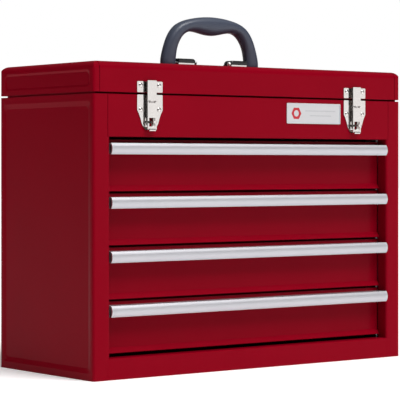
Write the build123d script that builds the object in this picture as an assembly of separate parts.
from build123d import *
import os

os.makedirs("parts", exist_ok=True)

# ---------------------------------------------------------------- driving dimensions, mm
WIDTH = 520.0            # cabinet, left to right
DEPTH = 218.0            # cabinet, front to back
BODY_TOP = 357.0         # top edge of the cabinet
LID_BOTTOM = 359.3       # lower edge of the closed lid
LID_TOP = 398.0
SHEET = 1.0              # folded steel sheet
CORNER = 3.0             # outer bend radius of the vertical corners
LID_BEND = 9.5           # outer bend radius of the lid's top edges

OPENING_HALF = 235.0     # drawer opening, half width
OPENING_LOW = 27.0       # top of the bottom rail
OPENING_HIGH = 303.5     # lower edge of the upper front panel
STILE_RETURN = 17.0      # depth of the folded edge beside the drawers
BUTT_HALF = 238.0        # where the front panels meet the stiles
LAP = 15.0               # width of the lap tabs behind the stiles
SEAM = 0.7               # open joint between two butted sheets
TIGHT_SEAM = 0.1         # the same where the joint is drawn up tight

DRAWERS = 4
PITCH = 67.8             # drawer spacing
FRONT_HEIGHT = 64.5      # drawer front
TOP_DRAWER_LOW = 235.6   # lower edge of the highest drawer front
PULL_PROUD = 4.0         # how far a pull stands in front of the cabinet face

SLIDE_WEB = 235.6        # outer face of the fixed slide channel
TRAY_HALF = 222.0        # outside of a drawer tray's walls
LATCH_X = 174.3          # latch centre, from the middle of the cabinet
HANDLE_Y = -10.0         # plane of the upright carrying handle
HANDLE_PIVOT = 405.8     # height of the handle's pivot pins

HALF = WIDTH / 2
FRONT = -DEPTH / 2
BACK = DEPTH / 2
WALL_IN = HALF - SHEET           # inside of a side wall
FIELD_DEPTH = 1.2                # how far a pressed field sinks
FIELD_IN = WALL_IN - FIELD_DEPTH  # inside of the pressed field
RECESS = FRONT + STILE_RETURN + 0.5   # front face of the drawer fronts
HINGE_Y = BACK + 2.3
HINGE_Z = (BODY_TOP + LID_BOTTOM) / 2

nodes = {}


# ---------------------------------------------------------------- helpers
def block(x0, x1, y0, y1, z0, z1):
    """A box given by its limits."""
    return Pos((x0 + x1) / 2, (y0 + y1) / 2, (z0 + z1) / 2) * Box(x1 - x0, y1 - y0, z1 - z0)


def rod_x(radius, x0, x1, y, z):
    """A round bar along X."""
    return Pos((x0 + x1) / 2, y, z) * Rot(0, 90, 0) * Cylinder(radius, x1 - x0)


def rod_y(radius, y0, y1, x, z):
    """A round bar along Y."""
    return Pos(x, (y0 + y1) / 2, z) * Rot(90, 0, 0) * Cylinder(radius, y1 - y0)


def both_sides(shape):
    """A piece and its mirror image across the middle of the cabinet."""
    return [shape, mirror(shape, about=Plane.YZ)]


def group(shapes):
    """Separate identical solids that share one node."""
    return Compound(children=[solid for shape in shapes for solid in shape.solids()])


def bent_strip(points, radius, side=Side.LEFT):
    """Cross-section of a folded sheet, from the path of its outer face."""
    path = FilletPolyline(*points, radius=radius)
    return make_face(offset(path, amount=SHEET, side=side))


def upright(section, z0, z1):
    """A plan section extruded between two heights."""
    return Pos(0, 0, z0) * extrude(section, z1 - z0)


def lengthwise(section, x0, x1):
    """A section drawn in (Y, Z), extruded along X."""
    return Plane.YZ.offset(x0) * extrude(section, x1 - x0)


def field(x, outward, y0, y1, z0, z1, depth, slope):
    """The shallow sloped block that a press sinks into a side wall at x."""
    middle = ((y0 + y1) / 2, (z0 + z1) / 2)
    faces = []
    for inset, at in ((0.0, x), (slope, x - outward * depth)):
        plane = Plane(origin=(at, middle[0], middle[1]), x_dir=(0, 1, 0), z_dir=(1, 0, 0))
        outline = RectangleRounded(y1 - y0 - 2 * inset, z1 - z0 - 2 * inset, 6.0)
        faces.append((plane * outline).face())
    return loft(faces)


def pressed(panel, x, outward, y0, y1, z0, z1, depth, slope):
    """Sink a field into a sheet wall, keeping the sheet's thickness."""
    boss = field(x - outward * SHEET, outward, y0, y1, z0, z1, depth, slope)
    pocket = field(x, outward, y0, y1, z0, z1, depth, slope)
    return (panel + boss) - pocket


# ---------------------------------------------------------------- cabinet shell
UPSTAND_IN = 4.5         # how far the top edge is folded in before it turns up
UPSTAND_HIGH = 5.5       # how far it stands up inside the closed lid


def upstand():
    """Top edge of the left wall, folded in and then up to guide the lid."""
    face = -HALF + UPSTAND_IN
    y0 = FRONT + 4
    y1 = BACK - 11
    shelf = block(-HALF + SHEET / 2, face + SHEET, y0, y1, BODY_TOP - SHEET, BODY_TOP)
    return shelf + block(face, face + SHEET, y0, y1, BODY_TOP - SHEET, BODY_TOP + UPSTAND_HIGH)


def left_side():
    """Side wall with its stile, the folded edge beside the drawers and a rear flange."""
    plan = [(-HALF + 12, BACK), (-HALF, BACK), (-HALF, FRONT), (-OPENING_HALF, FRONT),
            (-OPENING_HALF, FRONT + STILE_RETURN)]
    wall = upright(bent_strip(plan, CORNER), 0, BODY_TOP)
    wall += upstand()
    for low, high, gap in ((0, OPENING_LOW, TIGHT_SEAM), (OPENING_HIGH, BODY_TOP, SEAM)):
        wall -= block(-BUTT_HALF - gap, -OPENING_HALF + 1, FRONT - 1, RECESS, low, high)
    return pressed(wall, -HALF, -1, FRONT + 6.6, BACK - 6.6, 9.0, BODY_TOP - 9.0, FIELD_DEPTH, 6.5)


def back_panel():
    """Rear sheet inside the side walls' flanges, with a folded top edge."""
    half = WALL_IN - CORNER
    panel = block(-half, half, BACK - 2 * SHEET, BACK - SHEET, SHEET, BODY_TOP)
    panel += block(-FIELD_IN, FIELD_IN, BACK - 10, BACK - 2 * SHEET, BODY_TOP - SHEET, BODY_TOP)
    return panel


def bottom_pan():
    """Floor sheet, folded up at the front as the bottom rail and at the sides as flanges."""
    pan = block(-WALL_IN, WALL_IN, FRONT + SHEET, BACK - SHEET, 0, SHEET)
    pan = fillet(pan.edges().filter_by(Axis.Z), CORNER - SHEET)
    pan += block(-BUTT_HALF, BUTT_HALF, FRONT, FRONT + SHEET, 0, OPENING_LOW)
    shelf = FRONT + STILE_RETURN
    pan += block(-BUTT_HALF, BUTT_HALF, FRONT, shelf, OPENING_LOW - SHEET, OPENING_LOW)
    pan += block(-BUTT_HALF, BUTT_HALF, shelf - SHEET, shelf, OPENING_LOW - 8, OPENING_LOW)
    for side in (-1, 1):
        edges = sorted((side * (BUTT_HALF - 6), side * (BUTT_HALF + LAP)))
        pan += block(*edges, FRONT + SHEET, FRONT + 2 * SHEET, SHEET, OPENING_LOW - 2)
        edges = sorted((side * (WALL_IN - SHEET), side * WALL_IN))
        pan += block(*edges, FRONT + 12, BACK - 12, SHEET, 8)
    pan = fillet(pan.edges().filter_by(Axis.X).group_by(Axis.Y)[0].group_by(Axis.Z)[-1], 0.9)
    for at in (-60.0, 0.0, 60.0):
        bead = Pos(0, at, SHEET) * extrude(SlotOverall(380, 12), 1.5, taper=40)
        pan += bead
    return pan


def front_upper_panel():
    """Front sheet over the drawers, with folded edges and lap tabs behind the stiles."""
    panel = block(-BUTT_HALF, BUTT_HALF, FRONT, FRONT + SHEET, OPENING_HIGH, BODY_TOP)
    panel += block(-BUTT_HALF, BUTT_HALF, FRONT, FRONT + 12, BODY_TOP - SHEET, BODY_TOP)
    panel += block(-BUTT_HALF, BUTT_HALF, FRONT + 11, FRONT + 12, BODY_TOP - 7, BODY_TOP)
    panel += block(-BUTT_HALF, BUTT_HALF, FRONT, FRONT + STILE_RETURN, OPENING_HIGH,
                   OPENING_HIGH + SHEET)
    for side in (-1, 1):
        edges = sorted((side * (BUTT_HALF - 6), side * (BUTT_HALF + LAP)))
        panel += block(*edges, FRONT + SHEET, FRONT + 2 * SHEET, OPENING_HIGH, BODY_TOP - SHEET)
    return fillet(panel.edges().filter_by(Axis.X).group_by(Axis.Y)[0], 0.9)


TILL_LOW = OPENING_HIGH + SHEET


def till_floor():
    """Floor of the top tray, lying on the upper panel's folded edge, its rear edge turned down."""
    front = FRONT + 2 * SHEET
    back = BACK - 2 * SHEET
    floor = block(-FIELD_IN, FIELD_IN, front, back, TILL_LOW, TILL_LOW + SHEET)
    return floor + block(-FIELD_IN, FIELD_IN, back - SHEET, back, TILL_LOW - 10, TILL_LOW + SHEET)


def slide_posts():
    """Four upright hat channels that carry the drawer slides."""
    posts = []
    for at in (-76.0, 84.0):
        web = -SLIDE_WEB - SHEET
        plan = [(-FIELD_IN, at - 22), (-FIELD_IN, at - 11), (web, at - 11),
                (web, at + 11), (-FIELD_IN, at + 11), (-FIELD_IN, at + 22)]
        posts += both_sides(upright(bent_strip(plan, 1.5, Side.RIGHT), SHEET, TILL_LOW))
    return group(posts)


# ---------------------------------------------------------------- drawers and slides
SLIDE_HEIGHT = 34.0
INNER_HEIGHT = 22.0
BALL_OFFSET = 13.5       # ball rows above and below the slide's middle
BALL_RADIUS = 2.1
SLIDE_FRONT = -88.0
SLIDE_BACK = 100.0
CAGE_MIDDLE = (SLIDE_FRONT + SLIDE_BACK - 6) / 2   # middle of a ball cage with the drawer shut
CAGE_HALF = 28.0
PULL_LOW = 46.0          # lower edge of a pull above its drawer front's lower edge
PULL_HEIGHT = 14.2


def drawer_low(index):
    """Lower edge of a drawer front, counting from the top."""
    return TOP_DRAWER_LOW - index * PITCH


def slide_middle(index):
    return drawer_low(index) + 30.0


def slide_outer(index):
    """Fixed slide channels, one each side."""
    middle = slide_middle(index)
    half = SLIDE_HEIGHT / 2
    channel = block(-SLIDE_WEB, -SLIDE_WEB + 9.0, SLIDE_FRONT, SLIDE_BACK, middle - half,
                    middle + half)
    channel -= block(-SLIDE_WEB + SHEET, -SLIDE_WEB + 10, SLIDE_FRONT - 1, SLIDE_BACK + 1,
                     middle - half + SHEET, middle + half - SHEET)
    return group(both_sides(channel))


def slide_inner(index):
    """Slide channels riveted to the drawer tray, one each side."""
    middle = slide_middle(index)
    half = INNER_HEIGHT / 2
    channel = block(-TRAY_HALF - 8, -TRAY_HALF, SLIDE_FRONT, SLIDE_BACK - 6, middle - half,
                    middle + half)
    channel -= block(-TRAY_HALF - 9, -TRAY_HALF - SHEET, SLIDE_FRONT - 1, SLIDE_BACK,
                     middle - half + SHEET, middle + half - SHEET)
    return group(both_sides(channel))


def ball_cage(index):
    """Slotted strip that spaces the slide balls, one each side."""
    middle = slide_middle(index)
    span = (CAGE_MIDDLE - CAGE_HALF, CAGE_MIDDLE + CAGE_HALF)
    reach = BALL_OFFSET + 0.5
    strip = block(-232.3, -231.5, *span, middle - reach, middle + reach)
    for row in (-1, 1):
        level = middle + row * BALL_OFFSET
        strip += block(-232.3, -226.4, *span, level - 0.5, level + 0.5)
        for step in (-22, 0, 22):
            strip += Pos(-228.6, CAGE_MIDDLE + step, level) * Sphere(BALL_RADIUS)
    return group(both_sides(strip))


def drawer_tray(index):
    """Open steel box with an inward folded rim."""
    low = drawer_low(index) + 4.0
    high = low + 52.0
    front = RECESS + SHEET
    back = 95.0
    tray = block(-TRAY_HALF, TRAY_HALF, front, back, low, high)
    tray -= block(-TRAY_HALF + SHEET, TRAY_HALF - SHEET, front + SHEET, back - SHEET,
                  low + SHEET, high - SHEET)
    tray -= block(-TRAY_HALF + 5, TRAY_HALF - 5, front + 5, back - 5, high - 2, high + 1)
    return tray


FRONT_HALF = OPENING_HALF - 1.0


def drawer_front(index):
    """Front sheet with a flared lower lip."""
    low = drawer_low(index)
    path = [(RECESS, low + FRONT_HEIGHT), (RECESS, low + 6.5), (RECESS - 4.5, low)]
    return lengthwise(bent_strip(path, 2.0), -FRONT_HALF, FRONT_HALF)


def drawer_pull(index):
    """Full-width extruded pull: a bowed hollow bar, a shelf and a flange on the drawer front."""
    low = drawer_low(index) + PULL_LOW
    high = low + PULL_HEIGHT
    face = FRONT - PULL_PROUD
    bow = ThreePointArc((face + 3.0, low), (face, (low + high) / 2), (face + 3.0, high))
    rear = Polyline((face + 3.0, high), (face + 9.0, high), (face + 9.0, low), (face + 3.0, low))
    bar = make_face([bow, *rear.edges()])
    hollow = Pos((face * 2 + 9.4) / 2 + 0.5, (low + high) / 2) * RectangleRounded(
        5.0, PULL_HEIGHT - 3.2, 1.2)
    shelf = Pos((face + 9 + RECESS) / 2, high - 0.7) * Rectangle(RECESS - face - 9, 1.4)
    flange = Pos(RECESS - 0.6, (low + high) / 2 + 1.0) * Rectangle(1.2, PULL_HEIGHT - 2.0)
    section = (bar - hollow) + shelf + flange
    return lengthwise(section, -FRONT_HALF, FRONT_HALF)


# ---------------------------------------------------------------- lid
def lid_form(inset):
    """Outer form of the lid, or its inside when inset by the sheet."""
    half_x = HALF - inset
    half_y = DEPTH / 2 - inset
    top = LID_TOP - inset
    bend = LID_BEND - inset
    plan = upright(RectangleRounded(2 * half_x, 2 * half_y, CORNER - inset), LID_BOTTOM, top)
    tall = 2 * (top - LID_BOTTOM)
    along = Plane.YZ * Pos(0, LID_BOTTOM) * RectangleRounded(2 * half_y, tall, bend)
    across = Plane.XZ * Pos(0, LID_BOTTOM) * RectangleRounded(2 * half_x, tall, bend)
    return plan & extrude(along, half_x, both=True) & extrude(across, half_y, both=True)


END_SEAM = 251.0         # where the ends meet the wrapped cover
END_LAP = 7.0            # width of the end's edge that the cover laps over


def lid_pieces():
    """The wrapped cover and the two pressed ends."""
    shell = lid_form(0) - lid_form(SHEET)
    joint = END_SEAM - SEAM
    middle = block(-joint, joint, FRONT - 1, BACK + 1, LID_BOTTOM - 1, LID_TOP + 1)
    cover = shell & middle
    hem = END_SEAM - END_LAP - 1
    for at, sign in ((FRONT, 1), (BACK, -1)):
        edges = sorted((at, at + sign * 7))
        cover += block(-hem, hem, *edges, LID_BOTTOM, LID_BOTTOM + SHEET)
    end = shell & block(-HALF - 1, -END_SEAM, FRONT - 1, BACK + 1, LID_BOTTOM - 1, LID_TOP + 1)
    inner = lid_form(SHEET) - lid_form(2 * SHEET)
    end += inner & block(-END_SEAM - 2, -END_SEAM + END_LAP, FRONT, BACK, LID_BOTTOM - 1, LID_TOP)
    end = pressed(end, -HALF, -1, FRONT + 8.7, BACK - 12, 365.6, 387.0, 1.0, 2.5)
    return cover, end


def lid_stiffener():
    """Top-hat plate under the lid that spreads the handle's load."""
    top = LID_TOP - SHEET
    path = [(-60, top), (-45, top), (-45, top - 8), (25, top - 8), (25, top), (40, top)]
    return lengthwise(bent_strip(path, 2.0, Side.RIGHT), -110, 110)


# ---------------------------------------------------------------- rear hinge
HINGE_HALF = 225.0
KNUCKLE = 25.0


def hinge_leaf(for_lid):
    """One leaf of the piano hinge, with every second knuckle."""
    plate_z = (LID_BOTTOM + 0.9, LID_BOTTOM + 18) if for_lid else (BODY_TOP - 18, BODY_TOP - 0.9)
    leaf = block(-HINGE_HALF, HINGE_HALF, BACK, BACK + SHEET, *plate_z)
    count = int(2 * HINGE_HALF / KNUCKLE)
    for index in range(count):
        if (index % 2 == 1) != for_lid:
            continue
        x0 = -HINGE_HALF + index * KNUCKLE + 0.25
        x1 = x0 + KNUCKLE - 0.5
        edges = sorted((HINGE_Z, plate_z[0] if for_lid else plate_z[1]))
        leaf += block(x0, x1, BACK, BACK + SHEET, *edges)
        leaf += rod_x(2.0, x0, x1, HINGE_Y, HINGE_Z)
    return leaf - rod_x(1.08, -HINGE_HALF - 1, HINGE_HALF + 1, HINGE_Y, HINGE_Z)


# ---------------------------------------------------------------- latches
PLATE = 1.2              # latch plate thickness
CHANNEL_HALF = 7.0       # half width of the raised lever and hook
PROUD = 6.0              # outer face of the lever and hook
PIVOT_OUT = 3.2          # lever pivot, in front of the cabinet face
PIVOT_Z = 349.6
PIVOT_PIN = 0.8
KNEE_PIN = 0.5
EAR = 1.5                # rounded ends of the cheeks and the lever's ears
KNEE_OUT = 5.0           # pin that joins the hook to the lever
KNEE_Z = 348.0
KEEPER_LOW = 359.9
KEEPER_HIGH = 373.8
STAPLE_Z = 322.2
STAPLE_OUT = 12.2        # how far the padlock loop stands out
STAPLE_HALF = 3.6
STAPLE_TALL = 3.0
SLOT_HALF = 4.7          # half width of the lever's slot
SLOT_REACH = 5.5         # half height of the lever's slot
PLATE_HALF = 19.8        # half width of the latch plates
RIVET_X = 14.4
RIVET_HEAD = 3.0         # radius of a rivet's head
BASE_RIVET_Z = 337.8
KEEPER_RIVET_Z = 368.6
CREASE_Z = 359.0         # pressed line across the hook, level with the lid's gap


def rivet(x, z, base):
    """Domed rivet head on the face of a plate."""
    on_face = (Align.CENTER, Align.CENTER, Align.MIN)
    rim = Pos(x, base, z) * Rot(90, 0, 0) * Cylinder(RIVET_HEAD, 0.5, align=on_face)
    crown = Rot(90, 0, 0) * Cone(RIVET_HEAD, RIVET_HEAD - 1.1, 0.7, align=on_face)
    return rim + Pos(x, base - 0.5, z) * crown


def latch_base():
    """Shield-shaped plate on the cabinet with two cheeks for the lever's pivot."""
    right = [(PLATE_HALF, 356.9), (PLATE_HALF, 337.5), (17.0, 332.4), (14.8, 326.9),
             (12.8, 320.6), (9.4, 314.8), (6.2, 312.0)]
    left = [(-x, z) for x, z in reversed(right)]
    plate = extrude(Plane.XZ * make_face(Polyline(*right, *left, close=True)), PLATE)
    plate = Pos(0, FRONT, 0) * plate
    corners = plate.edges().filter_by(Axis.Y)
    plate = fillet(corners, 1.2)
    lanced = STAPLE_HALF - SHEET
    plate -= block(-lanced, lanced, FRONT - 2, FRONT + 1, STAPLE_Z - SLOT_REACH, STAPLE_Z + SLOT_REACH)
    for side in (-1, 1):
        edges = sorted((side * 3.4, side * 4.6))
        plate += block(*edges, FRONT - PIVOT_OUT, FRONT - PLATE, PIVOT_Z - EAR, PIVOT_Z + EAR)
        plate += rod_x(EAR, *edges, FRONT - PIVOT_OUT, PIVOT_Z)
    return plate - rod_x(PIVOT_PIN, -CHANNEL_HALF, CHANNEL_HALF, FRONT - PIVOT_OUT, PIVOT_Z)


def latch_staple():
    """Padlock loop on the base plate, standing through the lever's slot."""
    out = FRONT - STAPLE_OUT
    root = FRONT - PLATE
    path = [(-STAPLE_HALF, root), (-STAPLE_HALF, out), (STAPLE_HALF, out), (STAPLE_HALF, root)]
    wire = FilletPolyline(*path, radius=1.4)
    strap = offset(wire, amount=SHEET, side=Side.LEFT)
    return Pos(0, 0, STAPLE_Z - STAPLE_TALL / 2) * extrude(make_face(strap), STAPLE_TALL)


def latch_lever():
    """Channel-section lever with a slot for the padlock loop and a curled finger tip."""
    top = KNEE_Z - 1.3
    low = 313.0
    face = FRONT - PROUD
    lever = block(-CHANNEL_HALF, CHANNEL_HALF, face, face + SHEET, low, top)
    for side in (-1, 1):
        edges = sorted((side * (CHANNEL_HALF - SHEET), side * CHANNEL_HALF))
        lever += block(*edges, face, FRONT - 2.4, low + 5, top)
        lever += block(*edges, face + 1.4, FRONT - 1.6, top - 1, PIVOT_Z)
        lever += rod_x(EAR, *edges, FRONT - PIVOT_OUT, PIVOT_Z)
        knuckle = sorted((side * 5.0, side * CHANNEL_HALF))
        lever += rod_x(1.0, *knuckle, FRONT - KNEE_OUT, KNEE_Z)
        lever += block(*knuckle, face + 0.3, FRONT - KNEE_OUT + 0.7, top - 0.5, KNEE_Z)
    lever -= block(-SLOT_HALF, SLOT_HALF, face - 1, face + 2, STAPLE_Z - SLOT_REACH,
                   STAPLE_Z + SLOT_REACH)
    tip = Pos(0, face, low) * Rot(0, 90, 0) * Cylinder(1.6, 10)
    lever += Pos(0, 0.4, -0.6) * tip
    lever -= rod_x(PIVOT_PIN + 0.05, -8, 8, FRONT - PIVOT_OUT, PIVOT_Z)
    return lever - rod_x(KNEE_PIN, -8, 8, FRONT - KNEE_OUT, KNEE_Z)


def latch_hook():
    """Channel-section hook, hung on the lever, that reaches over the keeper."""
    face = FRONT - PROUD
    low = KNEE_Z + 1.6
    high = 374.9
    hook = block(-CHANNEL_HALF, CHANNEL_HALF, face, face + SHEET, low, high)
    for side in (-1, 1):
        flange = sorted((side * (CHANNEL_HALF - SHEET), side * CHANNEL_HALF))
        hook += block(*flange, face, FRONT - 3.0, low + 3.0, high)
    hook += block(-CHANNEL_HALF, CHANNEL_HALF, face, FRONT - 3.0, high - SHEET, high)
    hook += rod_x(1.0, -2.6, 2.6, FRONT - KNEE_OUT, KNEE_Z)
    hook += block(-2.6, 2.6, face + 0.3, FRONT - KNEE_OUT + 0.6, KNEE_Z, low + 0.5)
    hook -= block(-CHANNEL_HALF - 1, CHANNEL_HALF + 1, face - 1, face + 0.4, CREASE_Z - 0.4,
                  CREASE_Z + 0.4)
    return hook - rod_x(KNEE_PIN + 0.05, -8, 8, FRONT - KNEE_OUT, KNEE_Z)


def latch_keeper():
    """Plate on the lid with the lug that the hook reaches over."""
    plate = block(-PLATE_HALF, PLATE_HALF, FRONT - PLATE, FRONT, KEEPER_LOW, KEEPER_HIGH)
    plate = fillet(plate.edges().filter_by(Axis.Y), 1.2)
    return plate + block(-4.0, 4.0, FRONT - 2.6, FRONT - PLATE, 369.0, 372.0)


# ---------------------------------------------------------------- carrying handle
BRACKET_IN = 31.0
BRACKET_OUT = 58.5
SADDLE_HALF = 7.0
SADDLE_TOP = HANDLE_PIVOT + 1.6
CAP_WALL = 1.2
LEG_IN = 60.0
LEG_OUT = 83.5


def handle_bracket():
    """Plated saddle on the lid that holds one pivot pin."""
    base = block(BRACKET_IN - 3, BRACKET_OUT, HANDLE_Y - 13, HANDLE_Y + 13, LID_TOP, LID_TOP + 1.2)
    base = fillet(base.edges().filter_by(Axis.Z), 4.0)
    saddle = block(BRACKET_IN, BRACKET_OUT, HANDLE_Y - SADDLE_HALF, HANDLE_Y + SADDLE_HALF,
                   LID_TOP, SADDLE_TOP)
    saddle += base
    return saddle - rod_x(2.05, BRACKET_IN + 4, BRACKET_OUT + 1, HANDLE_Y, HANDLE_PIVOT)


def handle_cap():
    """Moulded cover over the saddle, with short skirts and a rounded inner end."""
    skirt = SADDLE_TOP - 2.0
    half = SADDLE_HALF + CAP_WALL
    nose = BRACKET_IN - CAP_WALL
    cap = block(nose, BRACKET_OUT, HANDLE_Y - half, HANDLE_Y + half, skirt, SADDLE_TOP + 3.8)
    cap = fillet(cap.edges().filter_by(Axis.Y).group_by(Axis.Z)[-1].sort_by(Axis.X)[0], 5.0)
    cap = fillet(cap.edges().filter_by(Axis.X).group_by(Axis.Z)[-1], 2.2)
    cap += block(nose, BRACKET_IN, HANDLE_Y - half, HANDLE_Y + half, LID_TOP + 4.6, skirt + 0.4)
    cap -= block(BRACKET_IN, BRACKET_OUT + 1, HANDLE_Y - SADDLE_HALF, HANDLE_Y + SADDLE_HALF,
                 skirt - 4, SADDLE_TOP)
    return cap - rod_x(2.05, BRACKET_IN + 4, BRACKET_OUT + 1, HANDLE_Y, HANDLE_PIVOT)


def carry_handle():
    """Moulded arch with a swelling grip; its feet are rounded so that it can fold."""
    top = 471.0
    outer = Spline((LEG_OUT, 402.5), (80.0, 425.0), (66.0, 451.5), (40.0, 465.5), (0, top),
                   tangents=((0, 1), (-1, 0)))
    inner = Spline((LEG_IN, 402.5), (58.0, 424.0), (50.5, 443.0), (34.0, 451.0), (14.0, 446.5),
                   (0, 444.6), tangents=((0, 1), (-1, 0)))
    foot = Line((LEG_IN, 402.5), (LEG_OUT, 402.5))
    middle = Line((0, top), (0, 444.6))
    half_arch = extrude(Plane.XZ.offset(-HANDLE_Y) * make_face([outer, middle, inner, foot]), 12,
                        both=True)
    arch = half_arch + mirror(half_arch, about=Plane.YZ)
    knuckle = rod_x(7.0, LEG_IN, LEG_OUT, HANDLE_Y, HANDLE_PIVOT)
    arch += knuckle + mirror(knuckle, about=Plane.YZ)
    waist = Polyline((HANDLE_Y - 7.0, HANDLE_PIVOT), (HANDLE_Y - 7.0, 420), (HANDLE_Y - 11.5, 448),
                     (HANDLE_Y - 11.5, top + 1), (HANDLE_Y + 11.5, top + 1),
                     (HANDLE_Y + 11.5, 448), (HANDLE_Y + 7.0, 420),
                     (HANDLE_Y + 7.0, HANDLE_PIVOT), close=True)
    side_view = make_face(waist) + Pos(HANDLE_Y, HANDLE_PIVOT) * Circle(7.0)
    arch = arch & lengthwise(side_view, -LEG_OUT - 1, LEG_OUT + 1)
    pin = handle_pin()
    return arch - pin - mirror(pin, about=Plane.YZ)


def handle_pin():
    """Steel pivot pin moulded into the handle's foot."""
    return rod_x(2.0, BRACKET_IN + 6, LEG_IN + 10, HANDLE_Y, HANDLE_PIVOT)


# ---------------------------------------------------------------- assembly
side = left_side()
nodes["left_side_panel"], nodes["right_side_panel"] = both_sides(side)
nodes["back_panel"] = back_panel()
nodes["bottom_pan"] = bottom_pan()
nodes["front_upper_panel"] = front_upper_panel()
nodes["till_floor"] = till_floor()
nodes["slide_posts"] = slide_posts()

for number in range(1, DRAWERS + 1):
    index = number - 1
    nodes[f"slide_outer_{number}"] = slide_outer(index)
    nodes[f"slide_inner_{number}"] = slide_inner(index)
    nodes[f"ball_cage_{number}"] = ball_cage(index)
    nodes[f"drawer_tray_{number}"] = drawer_tray(index)
    nodes[f"drawer_front_{number}"] = drawer_front(index)
    nodes[f"drawer_pull_{number}"] = drawer_pull(index)

cover, end = lid_pieces()
nodes["lid_cover"] = cover
nodes["lid_end_left"], nodes["lid_end_right"] = both_sides(end)
nodes["lid_stiffener"] = lid_stiffener()
nodes["hinge_leaf_cabinet"] = hinge_leaf(False)
nodes["hinge_leaf_lid"] = hinge_leaf(True)
nodes["hinge_pin"] = rod_x(1.03, -HINGE_HALF - 1, HINGE_HALF + 1, HINGE_Y, HINGE_Z)

base_rivets = []
keeper_rivets = []
pivot_pins = []
for name, x in (("left", -LATCH_X), ("right", LATCH_X)):
    nodes[f"latch_base_{name}"] = Pos(x, 0, 0) * latch_base()
    nodes[f"latch_staple_{name}"] = Pos(x, 0, 0) * latch_staple()
    nodes[f"latch_lever_{name}"] = Pos(x, 0, 0) * latch_lever()
    nodes[f"latch_hook_{name}"] = Pos(x, 0, 0) * latch_hook()
    nodes[f"latch_keeper_{name}"] = Pos(x, 0, 0) * latch_keeper()
    nodes[f"latch_knee_pin_{name}"] = rod_x(KNEE_PIN, x - 6.9, x + 6.9, FRONT - KNEE_OUT, KNEE_Z)
    pivot_pins.append(rod_x(PIVOT_PIN, x - 6.9, x + 6.9, FRONT - PIVOT_OUT, PIVOT_Z))
    for step in (-RIVET_X, RIVET_X):
        base_rivets.append(rivet(x + step, BASE_RIVET_Z, FRONT - PLATE))
        keeper_rivets.append(rivet(x + step, KEEPER_RIVET_Z, FRONT - PLATE))
nodes["latch_pivot_pins"] = group(pivot_pins)
nodes["latch_base_rivets"] = group(base_rivets)
nodes["keeper_rivets"] = group(keeper_rivets)

plate = block(52.3, 148.3, FRONT - 0.8, FRONT, 323.8, 351.3)
nodes["name_plate"] = fillet(plate.edges().filter_by(Axis.Y), 1.5)

nodes["handle_bracket_right"] = handle_bracket()
nodes["handle_bracket_left"] = mirror(handle_bracket(), about=Plane.YZ)
nodes["handle_cap_right"] = handle_cap()
nodes["handle_cap_left"] = mirror(handle_cap(), about=Plane.YZ)
nodes["carry_handle"] = carry_handle()
nodes["handle_pins"] = group(both_sides(handle_pin()))

for name, shape in nodes.items():
    export_step(shape, f"parts/{name}.step")
